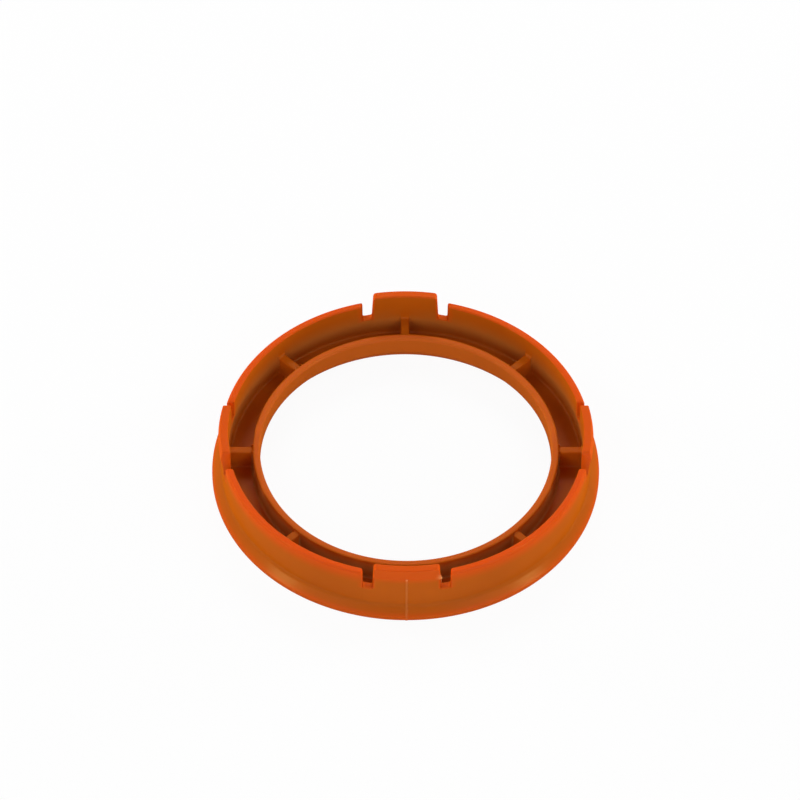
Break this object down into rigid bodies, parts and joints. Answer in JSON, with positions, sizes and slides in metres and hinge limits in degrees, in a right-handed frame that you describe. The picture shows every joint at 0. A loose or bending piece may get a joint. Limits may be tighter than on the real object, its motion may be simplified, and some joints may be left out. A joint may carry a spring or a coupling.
{
  "type": "hub centric ring",
  "caption": "Moulded plastic spacer ring that centres a wheel on a hub, with a round bore, a conical flange, a ribbed channel and spring clips cut out of the wall.",
  "frame": {"origin": "middle of the flange face that lies against the hub", "axes": "+Z along the ring's axis from the flange to the clips; -Y is the front, where one clip and its witness line are"},
  "size_m": [0.0762, 0.0764, 0.0127],
  "materials": {
    "moulded_plastic": "satin orange injection-moulded plastic"
  },
  "bodies": {
    "root": {"hub_ring": "moulded_plastic"}
  },
  "joints": []
}
